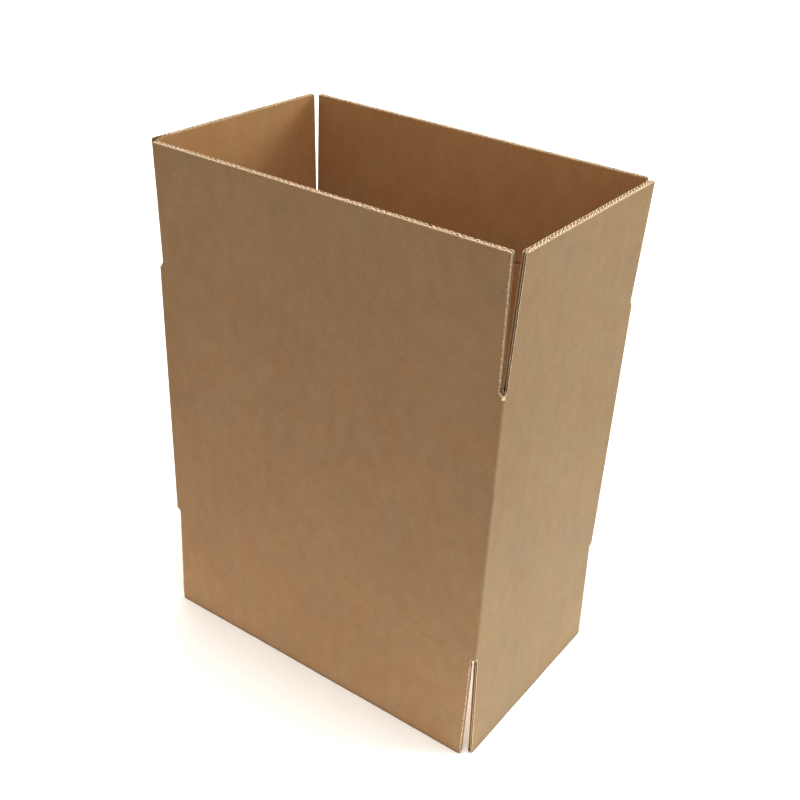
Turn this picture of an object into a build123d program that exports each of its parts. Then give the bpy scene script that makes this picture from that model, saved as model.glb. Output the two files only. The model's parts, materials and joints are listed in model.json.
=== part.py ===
from build123d import *
from math import cos, floor, radians, sin, tan
import os

# Slotted shipping carton of brown double-wall board, open at both ends.
# One blank is creased into four walls and glued into a sleeve by a tab. Each wall carries a flap
# at its top and one at its bottom. The carton stands on its bottom flaps, and all eight flaps
# stand nearly straight, leaning out a little.
#
# Millimetres. X runs along the long walls, Y from the front wall to the back wall, Z up. The
# origin is on the floor under the middle of the carton.

# Board: three liners with a fine and a coarse row of fluting between them
LINER = 0.4
FINE_FLUTE_HEIGHT = 2.1
COARSE_FLUTE_HEIGHT = 3.1
FINE_FLUTE_PITCH = 6.4
COARSE_FLUTE_PITCH = 7.9
MEDIUM = 0.45
FLUTE_TIP_GAP = 0.06
OPEN_FLUTE_DEPTH = 10.0
CUT_SIDE_DEPTH = 1.5
BOARD = 3 * LINER + FINE_FLUTE_HEIGHT + COARSE_FLUTE_HEIGHT

# Box
INSIDE_LENGTH = 500.0
INSIDE_WIDTH = 298.0
INSIDE_DEPTH = 366.0
FOLD_RADIUS = 3.0
INSIDE_FOLD_RADIUS = 1.5

# Creases: the flap turns about a line just under the outer liner, the inner side is crushed to a
# mitre so that the flap can shut square, and the outer side is eased so that it can fold back
CREASE_DEPTH = 0.8
CREASE_GAP = 0.5
SHUT_MITRE = 45.0
FOLD_BACK_EASE = 60.0

# Clearances between flaps and what they pass when they shut
LAYER_GAP = 0.3
SIDE_GAP = 0.3
MEETING_GAP = 0.5

# Slots between flaps
SLOT_PAST_SCORE = 1.0
SLOT_FILLET = 4.0

# Glued tab, inside the back wall at the left corner
TAB_WIDTH = 35.0
TAB_BOARD = 4.2
TAB_SET_BACK = 12.0
TAB_SLANT = 15.0
TAB_FOLD_RADIUS = 3.0

# Outward lean of each flap from its wall's plane, in degrees
TOP_LEAN = {"front": 1.4, "right": 1.9, "back": 0.2, "left": 1.9}
BOTTOM_LEAN = {"front": 1.5, "right": 2.0, "back": 1.5, "left": 2.0}

# Sizes that follow
HALF_INSIDE_X = INSIDE_LENGTH / 2
HALF_INSIDE_Y = INSIDE_WIDTH / 2
HALF_X = HALF_INSIDE_X + BOARD
HALF_Y = HALF_INSIDE_Y + BOARD
FLAP_INSET = BOARD + SIDE_GAP

# The long outer flaps shut over the short inner flaps, so their creases lie one board further out
SCORE_STEP = BOARD + LAYER_GAP
OUTER_FLAP = HALF_Y - CREASE_DEPTH - MEETING_GAP / 2
INNER_FLAP = OUTER_FLAP + SCORE_STEP
INNER_SCORE_SPACING = INSIDE_DEPTH + 2 * (BOARD - CREASE_DEPTH)
OUTER_SCORE_SPACING = INNER_SCORE_SPACING + 2 * SCORE_STEP

# How far from the crease line the flap and its wall are cut back, at the outer and the inner face
HALF_GAP = CREASE_GAP / 2
OUTER_CUT = HALF_GAP + CREASE_DEPTH * tan(radians(FOLD_BACK_EASE))
INNER_CUT = HALF_GAP + (BOARD - CREASE_DEPTH) / tan(radians(SHUT_MITRE))

# Each side: quarter turns from the front, half its length, how far out its wall is, flap length,
# and how far its creases lie inside the outer flaps' creases
SIDES = {
    "front": (0, HALF_X, HALF_Y, OUTER_FLAP, 0.0),
    "right": (1, HALF_Y, HALF_X, INNER_FLAP, SCORE_STEP),
    "back": (2, HALF_X, HALF_Y, OUTER_FLAP, 0.0),
    "left": (3, HALF_Y, HALF_X, INNER_FLAP, SCORE_STEP),
}


def standing_drop(side):
    """How far the outer edge of a leaning bottom flap reaches below the outer flaps' crease."""
    _, _, _, flap, step = SIDES[side]
    lean = radians(BOTTOM_LEAN[side])
    return flap * cos(lean) - CREASE_DEPTH * sin(lean) - step


# The cut edges that stand on the floor are worn flat, back to the shortest of them
LOW_SCORE = min(standing_drop(side) for side in SIDES)
HIGH_SCORE = LOW_SCORE + OUTER_SCORE_SPACING


def board_profile(top):
    """A flap's section at its side: Y inward from the crease line, Z up from it to the cut edge."""
    return Plane.YZ * Polygon(
        (-CREASE_DEPTH, OUTER_CUT),
        (0, HALF_GAP),
        (BOARD - CREASE_DEPTH, INNER_CUT),
        (BOARD - CREASE_DEPTH, top),
        (-CREASE_DEPTH, top),
        align=None,
    )


def fluting(half_length, height, pitch):
    """The wavy paper between two liners, as a zigzag strip seen from its cut end."""
    swing = (height - MEDIUM) / 2 - FLUTE_TIP_GAP
    waves = floor(2 * (half_length - CUT_SIDE_DEPTH) / pitch)
    start = -waves * pitch / 2
    tips = [(start + i * pitch / 2, swing if i % 2 else -swing) for i in range(2 * waves + 1)]
    near = [(x, y - MEDIUM / 2) for x, y in tips]
    far = [(x, y + MEDIUM / 2) for x, y in reversed(tips)]
    return Polygon(*near, *far, align=None)


def flute_rows():
    """For each row of fluting: its middle, inward from the crease line, its height and its pitch."""
    fine = LINER - CREASE_DEPTH + FINE_FLUTE_HEIGHT / 2
    coarse = BOARD - CREASE_DEPTH - LINER - COARSE_FLUTE_HEIGHT / 2
    return [
        (fine, FINE_FLUTE_HEIGHT, FINE_FLUTE_PITCH),
        (coarse, COARSE_FLUTE_HEIGHT, COARSE_FLUTE_PITCH),
    ]


def open_flutes(half_length, top):
    """What the cut edge leaves open between the liners, around the wavy paper."""
    hollow = Part()
    for middle, height, pitch in flute_rows():
        row = Pos(0, middle) * (Rectangle(2 * half_length, height) - fluting(half_length, height, pitch))
        hollow += Pos(0, 0, top - OPEN_FLUTE_DEPTH) * extrude(row, OPEN_FLUTE_DEPTH)
    return hollow


def cut_sides(half_length, root, top):
    """The grooves between the liners along a flap's two cut sides, beside the slots."""
    grooves = Part()
    for middle, height, _ in flute_rows():
        for end in (-half_length, half_length):
            groove = Box(2 * CUT_SIDE_DEPTH, height, top - root)
            grooves += Pos(end, middle, (root + top) / 2) * groove
    return grooves


def make_flap(side, upper):
    """One flap, in place. It is drawn upright at its crease line, leaned, then turned to its wall."""
    turns, half_wall, reach, length, step = SIDES[side]
    half_length = half_wall - FLAP_INSET
    root = BOARD + CREASE_GAP
    flap = extrude(board_profile(length), half_length, both=True)
    if upper:
        flap -= open_flutes(half_length, length)
    flap -= cut_sides(half_length, root, length)
    lean = TOP_LEAN[side] if upper else BOTTOM_LEAN[side]
    score = HIGH_SCORE - step if upper else LOW_SCORE + step
    turned = Rot(lean, 0, 0) * flap if upper else Rot(-lean, 0, 0) * Rot(0, 180, 0) * flap
    placed = Rot(0, 0, 90 * turns) * Pos(0, CREASE_DEPTH - reach, score) * turned
    if not upper:
        below = Pos(0, 0, -BOARD) * Box(4 * HALF_X, 4 * HALF_X, 2 * BOARD)
        placed -= below
    return placed


def sleeve_section():
    """The four walls seen from above, with the lap of the glued joint at the back left corner."""
    outline = RectangleRounded(2 * HALF_X, 2 * HALF_Y, FOLD_RADIUS)
    hollow = RectangleRounded(INSIDE_LENGTH, INSIDE_WIDTH, INSIDE_FOLD_RADIUS)
    walls = outline - hollow
    # The back wall ends square, with its cut edge flush with the left wall
    walls += Pos(FOLD_RADIUS / 2 - HALF_X, HALF_Y - BOARD / 2) * Rectangle(FOLD_RADIUS, BOARD)
    # Behind that edge the left wall rounds inward, to the tab
    corner = Pos(TAB_FOLD_RADIUS / 2 - HALF_X, HALF_INSIDE_Y - TAB_FOLD_RADIUS / 2)
    rounding = Pos(TAB_FOLD_RADIUS - HALF_X, HALF_INSIDE_Y - TAB_FOLD_RADIUS)
    notch = corner * Rectangle(TAB_FOLD_RADIUS, TAB_FOLD_RADIUS)
    notch -= rounding * Circle(TAB_FOLD_RADIUS)
    return walls - notch


def wall_end(side):
    """What is cut away above one wall: the same mitre and ease that its flap has, mirrored."""
    turns, half_wall, reach, _, step = SIDES[side]
    spare = SCORE_STEP + 2 * BOARD
    inward = BOARD - CREASE_DEPTH + INSIDE_FOLD_RADIUS + SIDE_GAP
    section = Plane.YZ * Polygon(
        (-CREASE_DEPTH - SIDE_GAP, -OUTER_CUT),
        (-CREASE_DEPTH, -OUTER_CUT),
        (0, -HALF_GAP),
        (BOARD - CREASE_DEPTH, -INNER_CUT),
        (inward, -INNER_CUT),
        (inward, spare),
        (-CREASE_DEPTH - SIDE_GAP, spare),
        align=None,
    )
    cut = extrude(section, half_wall - BOARD, both=True)
    above_middle = OUTER_SCORE_SPACING / 2 - step
    return Rot(0, 0, 90 * turns) * Pos(0, CREASE_DEPTH - reach, above_middle) * cut


def corner_slot(x_sign, y_sign):
    """The end of the slot between two flaps, cut past the inner flap's crease at one corner."""
    low = INNER_SCORE_SPACING / 2 - SLOT_PAST_SCORE
    high = OUTER_SCORE_SPACING / 2 + BOARD
    face = Pos(0, (low + high) / 2) * Rectangle(2 * FLAP_INSET, high - low)
    face = fillet(face.vertices().group_by(Axis.Y)[0], SLOT_FILLET)
    slot = extrude(Plane.XZ * face, FLAP_INSET, both=True)
    return Pos(x_sign * HALF_X, y_sign * HALF_Y, 0) * slot


def glued_tab():
    """The tab that continues the left wall, lapped inside the back wall, with slanted ends."""
    fold_side = INNER_SCORE_SPACING / 2 - TAB_SET_BACK
    free_side = fold_side - TAB_WIDTH * tan(radians(TAB_SLANT))
    face = Plane.XZ * Polygon(
        (0, -fold_side),
        (TAB_WIDTH, -free_side),
        (TAB_WIDTH, free_side),
        (0, fold_side),
        align=None,
    )
    return Pos(-HALF_INSIDE_X, HALF_INSIDE_Y, 0) * extrude(face, TAB_BOARD)


def make_body():
    """The sleeve, drawn about its own middle height and then lifted onto its bottom flaps."""
    body = extrude(sleeve_section(), OUTER_SCORE_SPACING / 2 + BOARD, both=True)
    ends = Part()
    for side in SIDES:
        ends += wall_end(side)
    for x_sign in (-1, 1):
        for y_sign in (-1, 1):
            ends += corner_slot(x_sign, y_sign)
    body -= ends
    body -= mirror(ends, Plane.XY)
    body += glued_tab()
    return Pos(0, 0, (LOW_SCORE + HIGH_SCORE) / 2) * body


def main():
    os.makedirs("parts", exist_ok=True)
    export_step(make_body(), "parts/carton_body.step")
    for side in SIDES:
        export_step(make_flap(side, upper=True), f"parts/top_flap_{side}.step")
        export_step(make_flap(side, upper=False), f"parts/bottom_flap_{side}.step")


main()
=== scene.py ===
"""A slotted carton of brown double-wall board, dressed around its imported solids.

The carton is one blank of corrugated board. Every piece here is built from the same five layers,
which are three flat liners and two wavy mediums. A layer is a strip with three coordinates: along
the blank (around the sleeve), up the flutes, and the depth from the outer face inward. Each piece
has its own placing function that bends those coordinates into the carton's frame.
"""

import json
from itertools import product
from math import pi, radians

import bpy
import numpy as np
from mathutils import Matrix, Vector


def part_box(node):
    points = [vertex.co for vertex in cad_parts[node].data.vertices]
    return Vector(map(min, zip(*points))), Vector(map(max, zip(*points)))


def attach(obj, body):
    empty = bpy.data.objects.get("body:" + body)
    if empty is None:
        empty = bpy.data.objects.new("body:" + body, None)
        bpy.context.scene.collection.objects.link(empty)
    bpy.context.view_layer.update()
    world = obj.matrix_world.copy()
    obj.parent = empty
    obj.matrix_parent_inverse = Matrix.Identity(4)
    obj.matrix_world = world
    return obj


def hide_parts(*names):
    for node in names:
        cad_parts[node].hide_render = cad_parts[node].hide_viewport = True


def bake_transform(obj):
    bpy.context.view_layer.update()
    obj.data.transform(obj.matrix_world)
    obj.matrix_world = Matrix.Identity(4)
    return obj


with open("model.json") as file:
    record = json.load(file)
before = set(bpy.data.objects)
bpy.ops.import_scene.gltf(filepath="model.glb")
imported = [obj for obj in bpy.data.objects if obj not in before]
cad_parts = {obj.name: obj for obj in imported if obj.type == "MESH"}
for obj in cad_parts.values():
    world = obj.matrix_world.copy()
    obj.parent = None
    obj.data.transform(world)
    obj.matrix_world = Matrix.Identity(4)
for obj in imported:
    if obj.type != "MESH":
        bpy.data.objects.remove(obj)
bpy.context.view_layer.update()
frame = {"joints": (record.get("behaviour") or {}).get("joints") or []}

MM = 0.001

# Board, as in the part's source
LINER = 0.4 * MM
MEDIUM = 0.45 * MM
FINE_FLUTE_HEIGHT = 2.1 * MM
COARSE_FLUTE_HEIGHT = 3.1 * MM
FINE_FLUTE_PITCH = 6.4 * MM
COARSE_FLUTE_PITCH = 7.9 * MM
BOARD = 3 * LINER + FINE_FLUTE_HEIGHT + COARSE_FLUTE_HEIGHT
CREASE_DEPTH = 0.8 * MM
SIDE_GAP = 0.3 * MM
SLOT_PAST_SCORE = 1.0 * MM
SLOT_FILLET = 4.0 * MM
FOLD_RADIUS = 3.0 * MM
TAB_WIDTH = 35 * MM
TAB_BOARD = 4.2 * MM
TAB_SET_BACK = 12 * MM
TAB_SLANT = 15
TAB_FOLD_RADIUS = 3 * MM
FLAP_INSET = BOARD + SIDE_GAP

# What the creases and the knife did to the board
WASHBOARD = 0.035 * MM
CREASE_REACH = 6 * MM
SCORE_CRUSH = 0.3
SCORE_WIDTH = 1.7 * MM
INNER_FOLD_RADIUS = 0.25 * MM
CORNER_REACH = BOARD + INNER_FOLD_RADIUS
EDGE_PINCH = 0.16
EDGE_PINCH_REACH = 1.6 * MM
CUT_CHATTER = 0.45 * MM
NICK_DEPTH = 1.1 * MM
BURR = 0.12 * MM
WEAR_REACH = 1.2 * MM
FLAKE_THICKNESS = 0.22 * MM
SHARP_EDGE = 50

# Sines that make a cut uneven: their lengths, their weights and the step between their phases
RIPPLE_LENGTHS = np.array([3.1, 7.7, 13.0, 27.0, 61.0]) * MM
RIPPLE_WEIGHTS = np.array([0.06, 0.08, 0.1, 0.12, 0.14])
RIPPLE_PHASE = 2.4

# Finishes, in the order of a piece's material slots
# Raw paper, the finish of the mediums and of the liners' hidden faces, is darker than the paper
# itself: painted shade for the flute holes and the narrow slots
OUTER_FACE, INNER_FACE, CUT_FLUTE, CUT_LINER, RAW_PAPER_PAINTED_SHADE = range(5)

# Camera, fitted to the photograph's edges, in metres and degrees
CAMERA_PLACE = (0.73696, -1.04693, 1.10662)
CAMERA_AIM = (0.06388, -0.00339, 0.35797)
CAMERA_ROLL = 3.87
CAMERA_LENS = 49.62
CAMERA_SHIFT = (-0.0332, 0.03)


# The hinges, read from the frame

OUTWARD = {"front": (0, -1), "right": (1, 0), "back": (0, 1), "left": (-1, 0)}


def read_hinge(joint):
    """One crease: its flap's node, centre, directions, lean, half length and the flap's length.

    A flap shuts at a right angle to its wall, so whatever its range has beyond that is its lean.
    """
    end, side, _ = joint["name"].split("_")
    node = f"{end}_flap_{side}"
    low, high = (np.array(corner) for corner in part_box(node))
    out = np.array([*OUTWARD[side], 0.0])
    up = np.array([0, 0, 1.0 if end == "top" else -1.0])
    along = np.array([-out[1], out[0], 0.0])
    lean = radians(joint["range_deg"][1]) - pi / 2
    middle = np.array(joint["pos_m"])
    half = abs((high - low) @ along) / 2
    if end == "top":
        length = (high[2] - middle[2] - (BOARD - CREASE_DEPTH) * np.sin(lean)) / np.cos(lean)
    else:
        length = middle[2] / np.cos(lean)
    return {
        "name": joint["name"], "end": end, "side": side, "node": node, "middle": middle,
        "out": out, "up": up, "along": along, "lean": lean, "half": half, "length": length,
    }


hinges = {(h["end"], h["side"]): h for h in map(read_hinge, frame["joints"])}

HALF_X = hinges["top", "right"]["middle"][0] + CREASE_DEPTH
HALF_Y = hinges["top", "back"]["middle"][1] + CREASE_DEPTH
HALF_INSIDE_X = HALF_X - BOARD
HALF_INSIDE_Y = HALF_Y - BOARD
OUTER_SCORE = hinges["top", "front"]["middle"][2]
INNER_SCORE = hinges["top", "right"]["middle"][2]
SLOT_FLOOR = INNER_SCORE - SLOT_PAST_SCORE
MIDDLE_HEIGHT = (OUTER_SCORE + hinges["bottom", "front"]["middle"][2]) / 2

# Where each wall's middle lies along the blank, counted from the middle of the front wall
BLANK_MIDDLE = {
    "left": -HALF_X - HALF_Y,
    "front": 0.0,
    "right": HALF_X + HALF_Y,
    "back": 2 * (HALF_X + HALF_Y),
}


# Layers and strips

# Name: middle depth, wave height, wave pitch, finish of its front and its back
LAYERS = {
    "outer_liner": (LINER / 2, 0.0, FINE_FLUTE_PITCH, OUTER_FACE, RAW_PAPER_PAINTED_SHADE),
    "fine_medium": (
        LINER + FINE_FLUTE_HEIGHT / 2, FINE_FLUTE_HEIGHT, FINE_FLUTE_PITCH, RAW_PAPER_PAINTED_SHADE, RAW_PAPER_PAINTED_SHADE,
    ),
    "middle_liner": (
        1.5 * LINER + FINE_FLUTE_HEIGHT, 0.0, FINE_FLUTE_PITCH, RAW_PAPER_PAINTED_SHADE, RAW_PAPER_PAINTED_SHADE,
    ),
    "coarse_medium": (
        2 * LINER + FINE_FLUTE_HEIGHT + COARSE_FLUTE_HEIGHT / 2, COARSE_FLUTE_HEIGHT,
        COARSE_FLUTE_PITCH, RAW_PAPER_PAINTED_SHADE, RAW_PAPER_PAINTED_SHADE,
    ),
    "inner_liner": (BOARD - LINER / 2, 0.0, COARSE_FLUTE_PITCH, RAW_PAPER_PAINTED_SHADE, INNER_FACE),
}
GLUE_LINE = 0.02 * MM

# Columns to a wave of a medium and to a ripple of an outside liner, and the middle liner's step
FLAP_COLUMNS = (8, 6, 4 * MM)
SLEEVE_COLUMNS = (6, 4, 8 * MM)


def layer_depths(layer, blank):
    """Depth of a layer's front and back face at each place along the blank.

    A medium follows a sine wave of the flute's pitch, as thick across its slope as on its tips.
    A liner is flat, and the two outside liners sink by a hair between the flute tips.
    """
    middle, wave, pitch, _, _ = LAYERS[layer]
    turn = 2 * pi * blank / pitch
    if wave:
        swing = (wave - MEDIUM) / 2 - GLUE_LINE
        slope = swing * 2 * pi / pitch * np.cos(turn)
        centre = middle + swing * np.sin(turn)
        across = MEDIUM * np.sqrt(1 + slope**2) / 2
        return centre - across, centre + across
    sink = WASHBOARD * (0.5 + 0.5 * np.sin(turn))
    front = middle - LINER / 2 + (sink if layer == "outer_liner" else 0)
    back = middle + LINER / 2 - (sink if layer == "inner_liner" else 0)
    return front + 0 * blank, back + 0 * blank


def column_step(layer, columns):
    """Distance along the blank between one layer's rings."""
    per_wave, per_ripple, middle_step = columns
    if layer == "middle_liner":
        return middle_step
    _, wave, pitch, _, _ = LAYERS[layer]
    return pitch / (per_wave if wave else per_ripple)


def worn(distance, reach=WEAR_REACH):
    """How much a cut's wear shows at a distance from it: 1 at the cut, and e^(-distance/reach)."""
    return np.exp(-np.clip(distance, 0, None) / reach)


def strip(place, wear, layer, blank, lows, highs, shares, flip=False):
    """One closed strip of paper: points, blank coordinates, wear, quads and their finishes.

    At each place along the blank a ring goes up the front face from low to high, with a row at
    each share of the way, and down the back face again. Rings are joined in order, and the first
    and last are capped. Raw faces swell by a burr where they are worn. A medium's caps, which are
    cut along its flutes, are as dark brown as raw paper, a painted shade for the narrow slots, and
    all other cuts are pale. With flip, the quads are turned round, for a placing that mirrors the
    piece.
    """
    front, back = layer_depths(layer, blank)
    rows = len(shares)
    up = lows[:, None] + (highs - lows)[:, None] * shares
    up = np.concatenate([up, up[:, ::-1]], axis=1)
    around = np.broadcast_to(blank[:, None], up.shape)
    wears = wear(around, up)
    wave, _, front_finish, back_finish = LAYERS[layer][1:]
    burr = BURR * wears * np.repeat([front_finish == RAW_PAPER_PAINTED_SHADE, back_finish == RAW_PAPER_PAINTED_SHADE], rows)
    depth = np.concatenate(
        [np.repeat(front[:, None], rows, 1), np.repeat(back[:, None], rows, 1)], axis=1
    )
    depth = depth + burr * np.repeat([-1, 1], rows)
    points = place(around, up, depth)
    sheet = np.stack([around, up, depth], axis=-1)

    columns, ring = len(blank), 2 * rows
    index = np.arange(columns * ring).reshape(columns, ring)
    here, onward = index[:-1], index[1:]
    quads = np.stack(
        [here, onward, np.roll(onward, -1, axis=1), np.roll(here, -1, axis=1)], axis=-1
    )
    finish = np.full((columns - 1, ring), back_finish)
    finish[:, : rows - 1] = front_finish
    finish[:, [rows - 1, ring - 1]] = CUT_FLUTE if wave else CUT_LINER

    step = np.arange(rows - 1)
    cap = np.stack([step, step + 1, ring - 2 - step, ring - 1 - step], axis=-1)
    caps = np.concatenate([index[0][cap], index[-1][cap][:, ::-1]])
    quads = np.concatenate([quads.reshape(-1, 4), caps])
    finish = np.concatenate([finish.ravel(), np.full(len(caps), RAW_PAPER_PAINTED_SHADE if wave else CUT_LINER)])
    if flip:
        quads = quads[:, ::-1]
    return points.reshape(-1, 3), sheet.reshape(-1, 3), wears.ravel(), quads, finish


def make_piece(name, body, strips, sharp=SHARP_EDGE):
    """Joins strips into one mesh object that keeps its place on the blank and its wear.

    Edges that turn by more than sharp degrees are shaded as sharp. Without a body, the piece is
    not attached to any body.
    """
    first = np.cumsum([0] + [len(s[0]) for s in strips[:-1]])
    points, sheet, wears = (np.concatenate([s[k] for s in strips]) for k in range(3))
    quads = np.concatenate([s[3] + n for s, n in zip(strips, first)])
    finish = np.concatenate([s[4] for s in strips])
    mesh = bpy.data.meshes.new(name)
    mesh.from_pydata(points.tolist(), [], quads.tolist())
    for material in FINISHES:
        mesh.materials.append(material)
    mesh.polygons.foreach_set("material_index", finish.astype(np.int32))
    blank = mesh.attributes.new("blank", "FLOAT_VECTOR", "POINT")
    blank.data.foreach_set("vector", sheet.astype(np.float32).ravel())
    wear = mesh.attributes.new("wear", "FLOAT", "POINT")
    wear.data.foreach_set("value", wears.astype(np.float32))
    mesh.shade_smooth()
    mesh.set_sharp_from_angle(angle=radians(sharp))
    mesh.update()
    piece = bpy.data.objects.new(name, mesh)
    bpy.context.scene.collection.objects.link(piece)
    if body:
        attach(piece, body)
    return piece


def spread(low, high, step):
    """Evenly spaced places from low to high, about step apart."""
    return np.linspace(low, high, max(2, int(round((high - low) / step)) + 1))


def unevenness(along, seed):
    """A smooth line between 0 and 1: one half, plus weighted sines with phases set by the seed."""
    phases = RIPPLE_PHASE * np.arange(1, 1 + len(RIPPLE_LENGTHS)) * seed
    waves = np.sin(2 * pi * along[..., None] / RIPPLE_LENGTHS + phases)
    return 0.5 + waves @ RIPPLE_WEIGHTS


# Paper finishes


def add_node(tree, kind, settings=None, **inputs):
    """A shader node with its settings and its input values or links, by socket name or number."""
    node = tree.nodes.new(kind)
    for key, value in (settings or {}).items():
        setattr(node, key, value)
    for key, value in inputs.items():
        numbered = key[0] == "i" and key[1:].isdigit()
        socket = node.inputs[int(key[1:]) if numbered else key.replace("_", " ")]
        if isinstance(value, bpy.types.NodeSocket):
            tree.links.new(value, socket)
        else:
            socket.default_value = value
    return node


def paper_noise(tree, place, per_mm, detail, roughness):
    """Noise over the blank, with its own number of cells per mm along, up and into the board."""
    stretched = add_node(
        tree, "ShaderNodeMapping", Vector=place, Scale=[n / MM for n in per_mm]
    )
    return add_node(
        tree, "ShaderNodeTexNoise", Vector=stretched.outputs[0], Scale=1.0, Detail=detail,
        Roughness=roughness,
    ).outputs[0]


def weigh(tree, parts, start=0.5):
    """The start value plus each noise's distance from 0.5 times its weight."""
    total = start
    for value, weight in parts:
        off = add_node(tree, "ShaderNodeMath", {"operation": "SUBTRACT"}, i0=value, i1=0.5)
        total = add_node(
            tree, "ShaderNodeMath", {"operation": "MULTIPLY_ADD"},
            i0=off.outputs[0], i1=weight, i2=total,
        ).outputs[0]
    return total


def blended(tree, share, below, above):
    """A colour between two others, each a socket or three numbers."""
    colours = {
        key: value if isinstance(value, bpy.types.NodeSocket) else (*value, 1)
        for key, value in (("i6", below), ("i7", above))
    }
    return add_node(tree, "ShaderNodeMix", {"data_type": "RGBA"}, i0=share, **colours).outputs[2]


# Noises: cells in a mm along the blank, up the flutes and into the board, detail and roughness
FIBRE_NOISE = ((0.9, 0.16, 0.9), 4.0, 0.65)
GRAIN_NOISE = ((0.5, 0.45, 0.5), 5.0, 0.7)
MOTTLE_NOISE = ((0.06, 0.035, 0.06), 3.0, 0.5)
CLOUD_NOISE = ((0.008, 0.006, 0.01), 2.0, 0.5)
BLOTCH_NOISE = ((0.02, 0.012, 0.02), 4.0, 0.6)
SPECK_NOISE = ((1.3, 0.5, 1.3), 2.0, 0.5)

# How far each noise shifts the tone, and how far grain and fibres break up the wear
FIBRE_TONE, GRAIN_TONE, MOTTLE_TONE, CLOUD_TONE = 0.9, 0.81, 0.5, 0.4
GRAIN_BREAK, FIBRE_BREAK = 2.0, 1.0

# Noise values between which blotches turn redder, specks show and wear turns to fluff
BLOTCH_RANGE = (0.35, 0.65)
SPECK_RANGE = (0.65, 0.75)
FLUFF_RANGE = (0.4, 0.8)
SPECK_COVER, FLUFF_COVER = 0.55, 0.85

SPECK = (0.11, 0.06, 0.028)
RED_TINT = (1.05, 0.963, 0.89)
LINER_FLUFF = (0.50, 0.37, 0.24)
ROUGHNESS = (0.78, 0.96)
SHEEN_LEVEL = 0.12
BUMP_SHARE = 0.6
BUMP_DEPTH = 0.3 * MM
LINER_BUMP, CUT_BUMP = 0.2, 0.6


def between(tree, value, limits, low=0.0, high=1.0):
    """Maps a value's run between two limits onto the run from low to high, and holds it there."""
    start, end = limits
    return add_node(
        tree, "ShaderNodeMapRange", i0=value, i1=start, i2=end, i3=low, i4=high
    ).outputs[0]


def make_paper(name, dark, light, fluff, bump):
    """Brown kraft paper: a tone between dark and light, led by fibres, mottling and clouds.

    Fibres are noise drawn out up the flutes, and some blotches are redder than others. Dark
    specks are the peaks of a finer noise. Pale fluff covers the worn places, and breaks up into
    flecks where the wear gives out.
    """
    material = bpy.data.materials.new(name)
    material.use_nodes = True
    tree = material.node_tree
    tree.nodes.clear()
    place = add_node(tree, "ShaderNodeAttribute", {"attribute_name": "blank"}).outputs["Vector"]
    wear = add_node(tree, "ShaderNodeAttribute", {"attribute_name": "wear"}).outputs["Fac"]
    fibres = paper_noise(tree, place, *FIBRE_NOISE)
    grain = paper_noise(tree, place, *GRAIN_NOISE)
    mottling = paper_noise(tree, place, *MOTTLE_NOISE)
    clouds = paper_noise(tree, place, *CLOUD_NOISE)
    blotches = paper_noise(tree, place, *BLOTCH_NOISE)
    specks = paper_noise(tree, place, *SPECK_NOISE)

    tones = [
        (fibres, FIBRE_TONE), (grain, GRAIN_TONE), (mottling, MOTTLE_TONE), (clouds, CLOUD_TONE)
    ]
    tone = weigh(tree, tones)
    red_dark, red_light = (tuple(np.multiply(brown, RED_TINT)) for brown in (dark, light))
    plain_brown = blended(tree, tone, dark, light)
    red_brown = blended(tree, tone, red_dark, red_light)
    brown = blended(tree, between(tree, blotches, BLOTCH_RANGE), plain_brown, red_brown)
    spotted = blended(tree, between(tree, specks, SPECK_RANGE, high=SPECK_COVER), brown, SPECK)
    rubbed = weigh(tree, [(grain, GRAIN_BREAK), (fibres, FIBRE_BREAK)], start=wear)
    colour = blended(tree, between(tree, rubbed, FLUFF_RANGE, high=FLUFF_COVER), spotted, fluff)

    height = weigh(tree, [(fibres, BUMP_SHARE), (grain, BUMP_SHARE)])
    dents = add_node(tree, "ShaderNodeBump", Strength=bump, Distance=BUMP_DEPTH, Height=height)
    shader = add_node(
        tree, "ShaderNodeBsdfPrincipled", Base_Color=colour, Normal=dents.outputs[0],
        Roughness=between(tree, grain, (0.0, 1.0), *ROUGHNESS),
    )
    shader.inputs["Specular IOR Level"].default_value = SHEEN_LEVEL
    output = add_node(tree, "ShaderNodeOutputMaterial")
    tree.links.new(shader.outputs[0], output.inputs[0])
    return material


# Name: dark and light tone, fluff and bump, in the order of the finishes
PAPERS = {
    "kraft_outer_liner": (
        (0.124, 0.070, 0.0325), (0.205, 0.131, 0.0705), LINER_FLUFF, LINER_BUMP,
    ),
    # The inner liner is brighter and redder than the outer one: partly its own tone, partly painted
    # light that stands in for the light inside the carton
    "kraft_inner_liner": ((0.208, 0.104, 0.040), (0.316, 0.176, 0.079), LINER_FLUFF, LINER_BUMP),
    "kraft_cut_fluting": ((0.46, 0.33, 0.20), (0.78, 0.63, 0.45), (0.74, 0.60, 0.43), CUT_BUMP),
    "kraft_cut_liner": ((0.32, 0.22, 0.13), (0.54, 0.40, 0.26), LINER_FLUFF, CUT_BUMP),
    # The medium and all hidden faces are far darker than the liners: painted shade for the flute
    # holes and the narrow slots
    "kraft_medium": (
        (0.060, 0.030, 0.012), (0.135, 0.075, 0.034), (0.165, 0.095, 0.045), LINER_BUMP,
    ),
}
FINISHES = [make_paper(name, *looks) for name, looks in PAPERS.items()]


# Flaps

# Bow of a flap: depth, steady and swaying shares, and how the sway turns from middle to end
FLAP_BOW = 0.5 * MM
BOW_STEADY, BOW_SWAY = 0.7, 0.3
SWAY_TURN = 7

# Rows up a flap, as shares of the way from its crease band to its free edge
FLAP_SHARES = np.array([0, 0.25, 0.5, 0.75, 0.92, 0.975, 0.99, 1])

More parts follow.
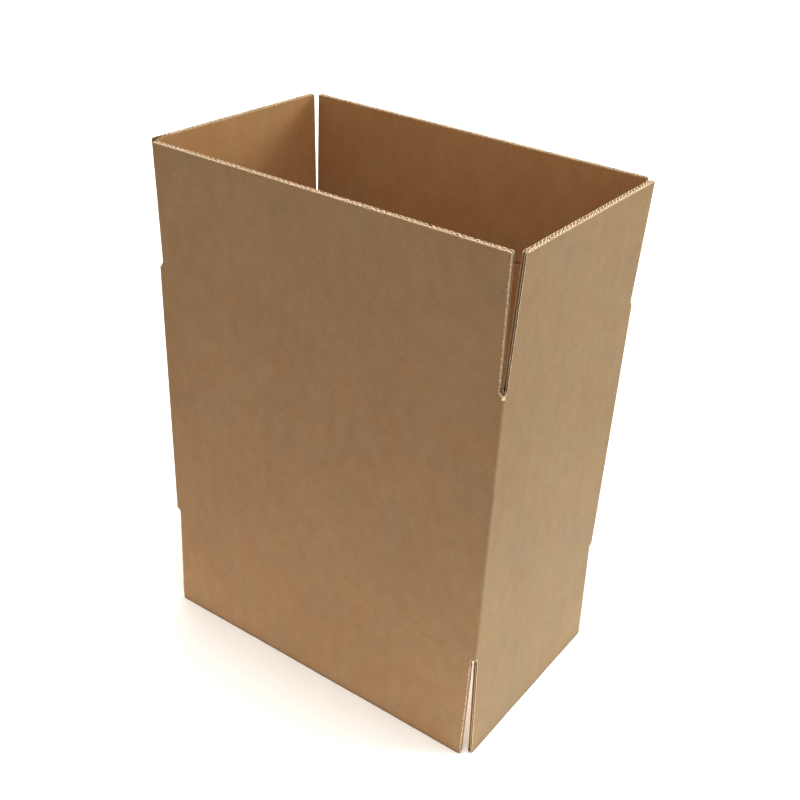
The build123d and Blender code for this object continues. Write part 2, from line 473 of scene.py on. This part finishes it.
# Crushed or clipped corners: flap and its end along the blank, then run, drop and the first
# layer, counted from outside, that is crushed
PLAIN_CORNER = (2.4 * MM, 1.2 * MM, 0)
WORN_CORNERS = {
    ("top", "left", 1): (24 * MM, 5.0 * MM, 2),
    ("top", "left", -1): (4.0 * MM, 3.0 * MM, 0),
    ("top", "front", -1): (3.0 * MM, 1.6 * MM, 0),
    ("top", "right", 1): (4.0 * MM, 2.2 * MM, 2),
    ("bottom", "front", -1): (2.0 * MM, 6.0 * MM, 0),
    ("bottom", "front", 1): (3.0 * MM, 3.0 * MM, 2),
    ("bottom", "right", 1): (2.0 * MM, 3.5 * MM, 0),
}

# Seeds of the ragged cut and of its nicks, and the level that a line passes to make a nick
RAGGED_SEED = 3.7
NICK_SEED, NICK_SEED_STEP = 1.3, 0.4
NICK_LEVEL = 0.72

# Wear beside the slots: how strong it is, how far it reaches, and the edges where it reaches more
SLOT_WEAR = 0.75
SLOT_WEAR_REACH = 0.6 * MM
FUZZY_EDGES = {
    ("top", "front", 1): 1.3 * MM,
    ("top", "right", -1): 0.8 * MM,
    ("bottom", "front", 1): 0.9 * MM,
    ("bottom", "right", -1): 1.0 * MM,
}


def lean_over(hinge, blank, up, out, turned=1.0):
    """Places points by their distance along, up from and out from a crease line.

    The up and out directions are turned outward about the crease by the flap's lean times turned.
    """
    angle = hinge["lean"] * turned
    aside = (blank - BLANK_MIDDLE[hinge["side"]])[..., None]
    across = (out * np.cos(angle) + up * np.sin(angle))[..., None]
    rise = (up * np.cos(angle) - out * np.sin(angle))[..., None]
    return hinge["middle"] + hinge["along"] * aside + hinge["out"] * across + hinge["up"] * rise


def pinched(depth, from_edge):
    """Depth near a cut: the knife presses the liners a little towards the middle of the board."""
    return depth + (BOARD / 2 - depth) * EDGE_PINCH * np.exp(-from_edge / EDGE_PINCH_REACH)


def flap_placing(hinge):
    """A flap's board: flat and leaning, with a slight inward bow that grows to its free edge.

    The bow falls to nothing at both ends of the free edge, as 1 - (along / half)^2, and sways by
    a sine whose phase differs from flap to flap.
    """
    half, length = hinge["half"], hinge["length"]
    phase = len(hinge["side"]) + 2 * len(hinge["end"])

    def place(blank, up, depth):
        along = blank - BLANK_MIDDLE[hinge["side"]]
        grow = np.clip((up - CREASE_REACH) / (length - CREASE_REACH), 0, 1) ** 2
        sway = BOW_STEADY + BOW_SWAY * np.sin(SWAY_TURN * along / half + phase)
        bow = FLAP_BOW * grow * (1 - (along / half) ** 2) * sway
        out = CREASE_DEPTH - pinched(depth, half - np.abs(along)) - bow
        return lean_over(hinge, blank, up, out)

    return place


def flap_reach(hinge, blank, number):
    """How far one layer runs up from the crease at each place along it.

    It is the flap's length, less a ragged cut that differs from layer to layer, less nicks where
    a smooth line peaks, and less a parabola at each worn corner.
    """
    along = blank - BLANK_MIDDLE[hinge["side"]]
    ragged = CUT_CHATTER * unevenness(blank, RAGGED_SEED + number)
    peaks = (unevenness(blank, NICK_SEED + NICK_SEED_STEP * number) - NICK_LEVEL) / (1 - NICK_LEVEL)
    reach = hinge["length"] - ragged - NICK_DEPTH * np.clip(peaks, 0, 1)
    for end in (-1, 1):
        key = (hinge["end"], hinge["side"], end)
        run, drop, first = WORN_CORNERS.get(key, PLAIN_CORNER)
        if number < first:
            run, drop, _ = PLAIN_CORNER
        reach = reach - drop * np.clip(1 - (hinge["half"] - end * along) / run, 0, 1) ** 2
    return reach


def flap_wear(hinge):
    """Wear near a flap's free edge, and less of it near its slot edges, apart from fuzzy ones."""

    def wear(blank, up):
        along = blank - BLANK_MIDDLE[hinge["side"]]
        total = worn(hinge["length"] - up)
        for end in (-1, 1):
            reach = FUZZY_EDGES.get((hinge["end"], hinge["side"], end), SLOT_WEAR_REACH)
            total = np.maximum(total, SLOT_WEAR * worn(hinge["half"] - end * along, reach))
        return total

    return wear


def make_flap(hinge):
    """All five layers of one flap, from its crease band to its free edge."""
    place, wear = flap_placing(hinge), flap_wear(hinge)
    middle, half = BLANK_MIDDLE[hinge["side"]], hinge["half"]
    flip = hinge["end"] == "bottom"
    strips = []
    for number, layer in enumerate(LAYERS):
        blank = spread(middle - half, middle + half, column_step(layer, FLAP_COLUMNS))
        lows = np.full(len(blank), CREASE_REACH)
        highs = flap_reach(hinge, blank, number)
        strips.append(strip(place, wear, layer, blank, lows, highs, FLAP_SHARES, flip))
    if flip:
        for points, *_ in strips:
            points[:, 2] = np.maximum(points[:, 2], 0)
    piece = make_piece(hinge["node"] + "_board", hinge["node"], strips)
    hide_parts(hinge["node"])


# Creases

# Rows across a crease band, and columns along it that are close together near both ends
BAND_SHARES = np.linspace(0, 1, 17)
BAND_STEP = 6 * MM
BAND_END_PLACES = np.array([0, 0.5, 1, 2, 4]) * MM
BAND_SHARP_EDGE = 70


def band_half(hinge, up):
    """Half the length of a crease band at each height: it widens into the slot's rounded end."""
    if hinge["side"] in ("left", "right"):
        return hinge["half"] + 0 * up
    floor = SLOT_FLOOR - OUTER_SCORE
    below = np.clip(floor + SLOT_FILLET - up, 0, SLOT_FILLET)
    return hinge["half"] + SLOT_FILLET - np.sqrt(SLOT_FILLET**2 - below**2)


def band_placing(hinge):
    """A crease band: it turns from the wall's plane into the flap's, pressed in at the score.

    The turn follows the smooth step 3t^2 - 2t^3 over the band. The score is a bell-shaped dent
    that crushes the board from its inner face towards its outer one.
    """
    half = hinge["half"]

    def place(blank, up, depth):
        middle = BLANK_MIDDLE[hinge["side"]]
        along = (blank - middle) * band_half(hinge, up) / half
        t = np.clip(0.5 + up / (2 * CREASE_REACH), 0, 1)
        crushed = depth * (1 - SCORE_CRUSH * np.exp(-((up / SCORE_WIDTH) ** 2)))
        out = CREASE_DEPTH - pinched(crushed, half - np.abs(blank - middle))
        return lean_over(hinge, middle + along, up, out, t * t * (3 - 2 * t))

    return place


def make_crease(hinge):
    """The three liners across one crease, which bend between the wall and the flap."""
    middle, half = BLANK_MIDDLE[hinge["side"]], hinge["half"]
    ends = [end * (half - BAND_END_PLACES) for end in (-1, 1)]
    blank = middle + np.unique(np.concatenate([spread(-half, half, BAND_STEP), *ends]))
    lows, highs = np.full((2, len(blank)), CREASE_REACH) * [[-1], [1]]
    place, flip = band_placing(hinge), hinge["end"] == "bottom"
    strips = [
        strip(place, flap_wear(hinge), layer, blank, lows, highs, BAND_SHARES, flip)
        for layer in ("outer_liner", "middle_liner", "inner_liner")
    ]
    piece = make_piece(hinge["name"] + "_band", None, strips, BAND_SHARP_EDGE)
    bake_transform(piece)


# Sleeve

# Walls in order along the blank: direction, inward direction, board thickness
WALLS = {
    "tab": ((-1, 0), (0, -1), TAB_BOARD),
    "left": ((0, -1), (1, 0), BOARD),
    "front": ((1, 0), (0, 1), BOARD),
    "right": ((0, 1), (-1, 0), BOARD),
    "back": ((-1, 0), (0, -1), BOARD),
}

# Where each of those walls starts: place along the blank, outer corner, outer fold radius
TAB_FOLD = -HALF_X - HALF_Y - HALF_INSIDE_Y
STARTS = {
    "tab": (TAB_FOLD - TAB_WIDTH - BOARD, (TAB_WIDTH - HALF_INSIDE_X, HALF_INSIDE_Y), 0),
    "left": (TAB_FOLD, (-HALF_X, HALF_INSIDE_Y), TAB_FOLD_RADIUS),
    "front": (-HALF_X, (-HALF_X, -HALF_Y), FOLD_RADIUS),
    "right": (HALF_X, (HALF_X, -HALF_Y), FOLD_RADIUS),
    "back": (HALF_X + 2 * HALF_Y, (HALF_X, HALF_Y), FOLD_RADIUS),
}
BLANK_START = STARTS["tab"][0]
BLANK_END = 3 * HALF_X + 2 * HALF_Y
WALL_BOW = 0.6 * MM

# Columns round a fold, and how close a column lies to either side of a flap's end
FOLD_STEP = 0.8 * MM
SLOT_SEAM = 0.01 * MM

# Rows up the walls: the outside liners have one more near each end, where their wear fades
WALL_SHARES = np.array([0, 0.003, 0.012, 0.25, 0.5, 0.75, 0.988, 0.997, 1])
HIDDEN_SHARES = np.array([0, 0.003, 0.25, 0.5, 0.75, 0.997, 1])


def wall_points(wall, blank, depth):
    """Plan places on a straight wall: its corner, plus the way along it, plus the depth inward."""
    start, corner, _ = STARTS[wall]
    direction, inward, board = WALLS[wall]
    on = (blank - start)[..., None] * direction
    return np.array(corner) + on + (depth * board / BOARD)[..., None] * inward


def fold_points(before, after, blank, depth):
    """Plan places round a corner fold: straight, a quarter circle, and straight again.

    The radius shrinks evenly from the outer face to the inner one, and the share of the way
    round is the same at every depth.
    """
    start, corner, radius = STARTS[after]
    in_a, board_a = np.array(WALLS[before][1]), WALLS[before][2]
    in_b, board_b = np.array(WALLS[after][1]), WALLS[after][2]
    deep_a, deep_b = depth * board_a / BOARD, depth * board_b / BOARD
    r = radius + (INNER_FOLD_RADIUS - radius) * depth / BOARD
    run_a, run_b = CORNER_REACH - deep_b - r, CORNER_REACH - deep_a - r
    arc = r * pi / 2
    way = (blank - start + CORNER_REACH) / (2 * CORNER_REACH) * (run_a + arc + run_b)
    turn = np.clip((way - run_a) / r, 0, pi / 2)
    short = np.clip(run_a - way, 0, None)
    past = np.clip(way - run_a - arc, 0, None)
    from_a = (deep_a + r - r * np.cos(turn) + past)[..., None]
    from_b = (deep_b + r - r * np.sin(turn) + short)[..., None]
    return np.array(corner) + from_a * in_a + from_b * in_b


def sleeve_placing(blank, up, depth):
    """The sleeve: straight walls with a slight outward bow, folded at four corners."""
    plan = wall_points("tab", blank, depth)
    previous = "tab"
    for wall in BLANK_MIDDLE:
        start = STARTS[wall][0]
        on_wall = (blank > start)[..., None]
        plan = np.where(on_wall, wall_points(wall, blank, depth), plan)
        near = (np.abs(blank - start) < CORNER_REACH)[..., None]
        plan = np.where(near, fold_points(previous, wall, blank, depth), plan)
        half = HALF_X if wall in ("front", "back") else HALF_Y
        along = (blank - BLANK_MIDDLE[wall]) / (half - CORNER_REACH)
        rise = (up - MIDDLE_HEIGHT) / (INNER_SCORE - MIDDLE_HEIGHT)
        bow = WALL_BOW * np.clip(1 - along**2, 0, None) * np.clip(1 - rise**2, 0, None) ** 2
        plan = plan - bow[..., None] * np.array(WALLS[wall][1])
        previous = wall
    return np.concatenate([plan, up[..., None]], axis=-1)


def past_flap(blank, wall):
    """How far each place along the blank lies past the ends of a wall's flaps."""
    half = (HALF_Y if wall in ("left", "right") else HALF_X) - FLAP_INSET
    return np.abs(blank - BLANK_MIDDLE[wall]) - half


def wall_top(blank):
    """Height where the sleeve's board ends, at each place along the blank.

    It stops at the crease bands, rises or falls to the slots' rounded ends beside the corners,
    and falls away along the tab.
    """
    top = np.full(blank.shape, SLOT_FLOOR)
    for wall in BLANK_MIDDLE:
        inner = wall in ("left", "right")
        past = past_flap(blank, wall)
        score = INNER_SCORE if inner else OUTER_SCORE
        curve = SLOT_FILLET - np.sqrt(
            SLOT_FILLET**2 - np.clip(SLOT_FILLET - past, 0, SLOT_FILLET) ** 2
        )
        near = (past >= 0) & (past < SLOT_FILLET)
        rounded = SLOT_FLOOR + curve
        if not inner:
            rounded = np.minimum(rounded, OUTER_SCORE - CREASE_REACH)
        top = np.where(near, rounded, top)
        top = np.where(past < 0, score - CREASE_REACH, top)
    fold_end = TAB_FOLD - CORNER_REACH
    slant = np.tan(radians(TAB_SLANT))
    tab_top = INNER_SCORE - TAB_SET_BACK - slant * np.clip(fold_end - blank, 0, None)
    share = np.clip((TAB_FOLD + CORNER_REACH - blank) / (2 * CORNER_REACH), 0, 1)
    return np.where(share > 0, SLOT_FLOOR + (tab_top - SLOT_FLOOR) * share, top)


def sleeve_wear(blank, up):
    """Wear at the slots' ends, on the tab's edges and on the back wall's raw end."""
    from_top = wall_top(blank) - MIDDLE_HEIGHT - np.abs(up - MIDDLE_HEIGHT)
    open_slot = np.min([past_flap(blank, wall) for wall in BLANK_MIDDLE], axis=0) > 0
    ends = np.maximum(worn(blank - BLANK_START), worn(BLANK_END - blank))
    return np.maximum(np.where(open_slot, worn(from_top), 0), ends)


def sleeve_places(step):
    """Places along the blank: even on the walls, close together round the folds and slots."""
    folds = [STARTS[wall][0] for wall in BLANK_MIDDLE]
    dense = [spread(f - 2 * CORNER_REACH, f + 2 * CORNER_REACH, FOLD_STEP) for f in folds]
    edges = []
    for wall, middle in BLANK_MIDDLE.items():
        half = (HALF_Y if wall in ("left", "right") else HALF_X) - FLAP_INSET
        for side in (-1, 1):
            edges += [middle + side * (half - SLOT_SEAM), middle + side * (half + SLOT_SEAM)]
    even = spread(BLANK_START, BLANK_END, step)
    near_fold = np.min([np.abs(even - f) for f in folds], axis=0) < 2 * CORNER_REACH
    return np.unique(np.concatenate([even[~near_fold], *dense, edges]))


def make_sleeve():
    """All five layers of the four walls and the glued tab, as one strip around the carton."""
    strips = []
    for layer in LAYERS:
        blank = sleeve_places(column_step(layer, SLEEVE_COLUMNS))
        top = wall_top(blank)
        shares = WALL_SHARES if layer in ("outer_liner", "inner_liner") else HIDDEN_SHARES
        lows = 2 * MIDDLE_HEIGHT - top
        strips.append(strip(sleeve_placing, sleeve_wear, layer, blank, lows, top, shares))
    piece = make_piece("carton_sleeve_board", "carton_body", strips)
    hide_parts("carton_body")


# Torn fibres and flakes at the slots

TONGUE_PLACES = np.linspace(0, 1, 7)
TONGUE_TAPER = 0.9

# Fibres on the outer flaps' slot edges: how many on an edge, the share of the flap they cover,
# how they crowd towards the crease, how they turn, lean, lift and bend, their sizes in mm and the
# seeds of their dice
FIBRE_COUNT = {"top": 44, "bottom": 24}
FIBRE_RUN = 0.8
FIBRE_CROWD = 1.4
FIBRE_TURN = 0.7
FIBRE_LEAN, FIBRE_LIFT, FIBRE_BEND = 0.3, 0.45, 0.2
FIBRE_INSET, FIBRE_LENGTH, FIBRE_WIDTH = (0.4, 1.8), (0.9, 2.0), (0.3, 0.6)
FIBRE_SEED, FIBRE_SEED_STEP = 3, 10

# Torn mediums in each slot's end: how many, how they sway, bend and lift out, their sizes in mm,
# how far behind the slot's end they are rooted, and the seed of their dice
TORN_COUNT = 6
TORN_SWAY, TORN_BEND, TORN_LIFT = 0.08, 0.1, 0.05
TORN_INSET, TORN_LENGTH, TORN_WIDTH = (2.4, 4.8), (3, 7.5), (0.8, 2.0)
TORN_DEPTH = 2 * MM
TORN_SEED = 17

# Two flakes at the front right slot: the first one's inset and drop, the way from it to the
# second, how they lean out, curl out, and bend back and down, and their sizes
FLAKE_INSET, FLAKE_DROP = 0.9 * MM, 5 * MM
NEXT_FLAKE = np.array([-1.6, 0, 2]) * MM
FLAKE_LEANS, FLAKE_CURLS = (0, 0.3), (0.3, 0.5)
FLAKE_BENDS = np.array([[0, 0, 0.25], [0.2, 0, 0.4]])
FLAKE_LENGTHS = np.array([8, 4.5]) * MM
FLAKE_WIDTHS = np.array([4.2, 2.6]) * MM

# The loose fibre: its root's inset, height and depth on the flap, its turn along the edge, how it
# curls along and out, and its size
LOOSE_INSET, LOOSE_HEIGHT, LOOSE_DEPTH = 0.3 * MM, 33 * MM, 2.5 * MM
LOOSE_TURN, LOOSE_CURL, LOOSE_LIFT = 0.012, 0.02, 0.002
LOOSE_LENGTH, LOOSE_WIDTH = 12 * MM, 1.3 * MM


def tongues(roots, ways, curls, lengths, widths, finish=CUT_LINER):
    """Flat tongues of torn liner, each tapering and curling away from its root.

    A tongue's middle line is root + length (t way + t^2 curl). Its half width is half the width
    times 1 - taper t^2, set square to the line and to its curl, and its thickness is a flake's.
    """
    t = TONGUE_PLACES[None, :, None]
    lengths, widths = lengths[:, None, None], widths[:, None, None]
    middle = roots[:, None] + lengths * (t * ways[:, None] + t**2 * curls[:, None])
    run = ways[:, None] + 2 * t * curls[:, None]
    run = run / np.linalg.norm(run, axis=-1, keepdims=True)
    side = np.cross(curls[:, None], run)
    side = side / np.linalg.norm(side, axis=-1, keepdims=True)
    face = np.cross(run, side) * FLAKE_THICKNESS / 2
    side = side * widths / 2 * (1 - TONGUE_TAPER * t**2)
    corners = np.stack(
        [middle - side - face, middle + side - face, middle + side + face, middle - side + face],
        axis=2,
    )
    index = np.arange(corners.size // 3).reshape(corners.shape[:3])
    here, onward = index[:, :-1], index[:, 1:]
    sides = np.stack([here, np.roll(here, -1, 2), np.roll(onward, -1, 2), onward], axis=-1)
    ends = np.concatenate([index[:, 0, ::-1], index[:, -1]])
    quads = np.concatenate([sides.reshape(-1, 4), ends])
    points = corners.reshape(-1, 3)
    return points, points, np.ones(len(points)), quads, np.full(len(quads), finish)


def slot_fibres(hinge, end, count, seed):
    """Short fibres that lift off the outer face along one slot edge, more of them near the crease.

    They bend back over the face, so they never reach across the gap to the next flap.
    """
    dice = np.random.default_rng(seed)
    run = FIBRE_RUN * hinge["length"] - CREASE_REACH
    up = CREASE_REACH + run * dice.random(count) ** FIBRE_CROWD
    inset = dice.uniform(*FIBRE_INSET, count) * MM
    edge = BLANK_MIDDLE[hinge["side"]] + end * (hinge["half"] - inset)
    roots = flap_placing(hinge)(edge, up, np.full(count, LINER / 2))
    tilt = dice.normal(0, FIBRE_TURN, count)[:, None]
    aside = hinge["along"] * FIBRE_LEAN * np.sin(tilt)
    ways = hinge["up"] * np.cos(tilt) + aside + FIBRE_LIFT * hinge["out"]
    inward = -end * hinge["along"] * dice.uniform(0, 1, (count, 1))
    curls = FIBRE_BEND * (inward - hinge["out"])
    lengths = dice.uniform(*FIBRE_LENGTH, count) * MM
    widths = dice.uniform(*FIBRE_WIDTH, count) * MM
    return tongues(roots, ways, curls, lengths, widths)


def make_fibres(hinge, number):
    """The fibres on both slot edges of one outer flap, each edge with a seed of its own."""
    count = FIBRE_COUNT[hinge["end"]]
    seed = FIBRE_SEED + FIBRE_SEED_STEP * number
    strips = [slot_fibres(hinge, end, count, seed + end) for end in (-1, 1)]
    make_piece(hinge["node"] + "_fibres", hinge["node"], strips)


def make_torn_flake():
    """Two flakes of outer liner that curl up beside the end of the front right slot."""
    foot = np.array([HALF_X - FLAKE_INSET, FLAKE_INSET - HALF_Y, SLOT_FLOOR - FLAKE_DROP])
    out = np.array([1, -1, 0]) / np.sqrt(2)
    ways = np.array([0, 0, 1]) + np.outer(FLAKE_LEANS, out)
    curls = np.outer(FLAKE_CURLS, out) - FLAKE_BENDS
    roots = np.array([foot, foot + NEXT_FLAKE])
    flakes = tongues(roots, ways, curls, FLAKE_LENGTHS, FLAKE_WIDTHS)
    make_piece("slot_end_torn_liner", "carton_body", [flakes])


def make_torn_mediums():
    """Ragged ends of medium that hang out of the board into each slot from its rounded end."""
    dice = np.random.default_rng(TORN_SEED)
    strips = []
    for sign_z, sign_x, sign_y in product((-1, 1), repeat=3):
        out = np.array([sign_x, sign_y, 0]) / np.sqrt(2)
        aside = np.array([-sign_y, sign_x, 0]) / np.sqrt(2)
        inset = dice.uniform(*TORN_INSET, (TORN_COUNT, 2)) * MM
        corner = np.array([sign_x * HALF_X, sign_y * HALF_Y]) - inset * [sign_x, sign_y]
        height = MIDDLE_HEIGHT + sign_z * (SLOT_FLOOR - MIDDLE_HEIGHT - TORN_DEPTH)
        roots = np.column_stack([corner, np.full(TORN_COUNT, height)])
        sway = dice.normal(0, 1, (TORN_COUNT, 1)) * aside
        ways = np.array([0, 0, sign_z]) + TORN_SWAY * sway
        bend = dice.normal(0, 1, (TORN_COUNT, 1)) * aside
        curls = TORN_BEND * bend + TORN_LIFT * out
        lengths = dice.uniform(*TORN_LENGTH, TORN_COUNT) * MM
        widths = dice.uniform(*TORN_WIDTH, TORN_COUNT) * MM
        # The torn mediums take the raw paper finish, whose dark brown is painted shade
        strips.append(tongues(roots, ways, curls, lengths, widths, RAW_PAPER_PAINTED_SHADE))
    make_piece("slot_end_torn_mediums", "carton_body", strips)


def make_loose_fibre():
    """One long fibre of liner that lies along the right flap's edge in the front right slot."""
    hinge = hinges["top", "right"]
    edge = BLANK_MIDDLE["right"] - hinge["half"] + LOOSE_INSET
    roots = flap_placing(hinge)(*np.array([[edge], [LOOSE_HEIGHT], [LOOSE_DEPTH]]))
    ways = (hinge["up"] - LOOSE_TURN * hinge["along"])[None]
    curls = (LOOSE_LIFT * hinge["out"] - LOOSE_CURL * hinge["along"])[None]
    fibre = tongues(roots, ways, curls, np.array([LOOSE_LENGTH]), np.array([LOOSE_WIDTH]))
    make_piece("slot_loose_fibre", hinge["node"], [fibre])


make_sleeve()
for number, hinge in enumerate(hinges.values()):
    make_flap(hinge)
    make_crease(hinge)
    if hinge["side"] in ("front", "back"):
        make_fibres(hinge, number)
make_torn_flake()
make_torn_mediums()
make_loose_fibre()


# Floor, light and camera

FLOOR_HALF = 12.0
FLOOR_COLOUR = (0.95, 0.96, 0.97)
FLOOR_ROUGHNESS = 0.9
GLOW_RANGE = (0.8, 3.5)
FAR_GLOW = 0.4
SKY_COLOUR = (1.0, 0.97, 0.92)
SKY_HORIZON, SKY_ZENITH = 1.08, 0.72
SENSOR_WIDTH = 36

WARM, COOL = (1.0, 0.90, 0.78), (0.74, 0.93, 1.0)

# Soft lights: place, what they face, size, power and colour
SOFTBOXES = {
    "overhead_light": ((0, 0, 2.8), (0, 0, 0), (1.2, 1.0), 70, (1.0, 0.90, 0.79)),
    "window_light": ((3.0, 1.9, 1.65), (0, 0, 0.45), (1.0, 1.0), 97, (0.77, 0.97, 1.0)),
    "side_light": ((3.0, 0.3, 0.45), (0.25, 0, 0.3), (1.2, 0.8), 30, COOL),
    "back_fill": ((-2.2, 2.4, 1.6), (0, 0, 0.3), (1.6, 1.6), 30, (1.0, 0.96, 0.90)),
}

# Glowing cards that lie on the floor around the carton and inside it: middle, size, power, colour
FLOOR_CARDS = {
    "front_floor_card": ((0.0, -0.391), (1.0, 0.46), 3.0, WARM),
    "right_floor_card": ((0.493, 0.0), (0.46, 0.8), 2.8, COOL),
    "back_floor_card": ((0.0, 0.391), (1.0, 0.46), 1.6, WARM),
    "left_floor_card": ((-0.493, 0.0), (0.46, 0.8), 1.6, WARM),
    "inside_floor_card": ((0.0, 0.0), (0.44, 0.24), 1.5, WARM),
}
CARD_HEIGHT = 2 * MM


def make_floor():
    """A wide, flat, pale floor that glows faintly far out, so that its edge meets a white sky.

    The glow rises evenly over a range of distances from the carton's middle.
    """
    signs = ((-1, -1), (1, -1), (1, 1), (-1, 1))
    corners = [(x * FLOOR_HALF, y * FLOOR_HALF, 0) for x, y in signs]
    mesh = bpy.data.meshes.new("pale_floor")
    mesh.from_pydata(corners, [], [(0, 1, 2, 3)])
    material = bpy.data.materials.new("pale_floor")
    material.use_nodes = True
    tree = material.node_tree
    shader = tree.nodes["Principled BSDF"]
    shader.inputs["Base Color"].default_value = (*FLOOR_COLOUR, 1)
    shader.inputs["Roughness"].default_value = FLOOR_ROUGHNESS
    shader.inputs["Emission Color"].default_value = (1, 1, 1, 1)
    place = add_node(tree, "ShaderNodeTexCoord").outputs["Object"]
    distance = add_node(tree, "ShaderNodeVectorMath", {"operation": "LENGTH"}, i0=place)
    glow = between(tree, distance.outputs["Value"], GLOW_RANGE, high=FAR_GLOW)
    tree.links.new(glow, shader.inputs["Emission Strength"])
    mesh.materials.append(material)
    floor = bpy.data.objects.new("pale_floor", mesh)
    bpy.context.scene.collection.objects.link(floor)


def add_softbox(name, place, aim, size, power, colour):
    """A rectangular soft light at place, facing aim, unseen by the camera."""
    lamp = bpy.data.lights.new(name, "AREA")
    lamp.shape = "RECTANGLE"
    lamp.size, lamp.size_y = size
    lamp.energy = power
    lamp.color = colour
    box = bpy.data.objects.new(name, lamp)
    box.location = place
    toward = Vector(aim) - Vector(place)
    box.rotation_euler = toward.to_track_quat("-Z", "Y").to_euler()
    box.visible_camera = False
    bpy.context.scene.collection.objects.link(box)


def make_camera():
    """The photograph's camera, from its place, aim and roll."""
    data = bpy.data.cameras.new("camera")
    data.lens = CAMERA_LENS
    data.sensor_width = SENSOR_WIDTH
    data.shift_x, data.shift_y = CAMERA_SHIFT
    camera = bpy.data.objects.new("camera", data)
    toward = Vector(CAMERA_AIM) - Vector(CAMERA_PLACE)
    level = toward.to_track_quat("-Z", "Y").to_matrix().to_4x4()
    roll = Matrix.Rotation(radians(CAMERA_ROLL), 4, "Z")
    camera.matrix_world = Matrix.Translation(CAMERA_PLACE) @ level @ roll
    bpy.context.scene.collection.objects.link(camera)
    bpy.context.scene.camera = camera


def make_world(horizon, zenith, colour):
    """A plain surround that brightens evenly with height, from the horizon to straight above."""
    world = bpy.data.worlds.new("studio")
    world.use_nodes = True
    tree = world.node_tree
    direction = add_node(tree, "ShaderNodeTexCoord").outputs["Generated"]
    height = add_node(tree, "ShaderNodeSeparateXYZ", i0=direction).outputs["Z"]
    strength = between(tree, height, (0.0, 1.0), horizon, zenith)
    sky = tree.nodes["Background"]
    sky.inputs["Color"].default_value = (*colour, 1)
    tree.links.new(strength, sky.inputs["Strength"])
    bpy.context.scene.world = world


make_floor()
make_world(SKY_HORIZON, SKY_ZENITH, SKY_COLOUR)
for name, setting in SOFTBOXES.items():
    add_softbox(name, *setting)
for name, (middle, size, power, colour) in FLOOR_CARDS.items():
    add_softbox(name, (*middle, CARD_HEIGHT), (*middle, 1), size, power, colour)
make_camera()
bpy.context.scene.view_settings.view_transform = "Standard"
